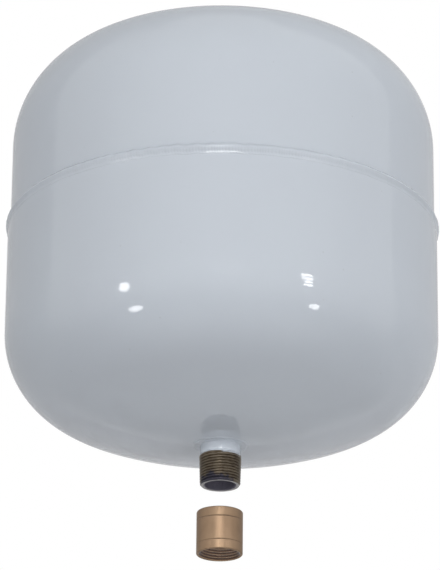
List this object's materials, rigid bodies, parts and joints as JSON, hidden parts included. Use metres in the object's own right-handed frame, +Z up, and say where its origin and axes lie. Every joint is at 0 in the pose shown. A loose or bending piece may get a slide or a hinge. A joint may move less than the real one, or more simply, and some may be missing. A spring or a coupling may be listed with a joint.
{
  "type": "pre-cooling vessel",
  "caption": "Round steel vessel with domed ends, a welded seam at the middle, a threaded connection at each end and a brass screw coupling hanging below.",
  "frame": {"origin": "middle of the top connection's thread, on the vessel's axis", "axes": "+Z up along the vessel's axis, out of the top connection; X and Y are alike, because every piece is round"},
  "size_m": [0.2828, 0.2828, 0.3773],
  "materials": {
    "paint": "glossy pale bluish-grey enamel",
    "thread_steel": "dark oiled thread, bare steel",
    "brass": "satin turned brass"
  },
  "bodies": {
    "vessel": {"upper_shell": "paint", "lower_shell": "paint", "seam_weld": "paint", "top_nipple": "thread_steel", "top_nipple_weld": "paint", "bottom_nipple": "thread_steel", "bottom_nipple_weld": "paint"},
    "coupling": {"coupling": "brass"}
  },
  "joints": [
    {"name": "coupling_screw", "type": "slide", "parent": "vessel", "child": "coupling", "axis": [0, 0, 1], "range_m": [0, 0.0275]}
  ]
}
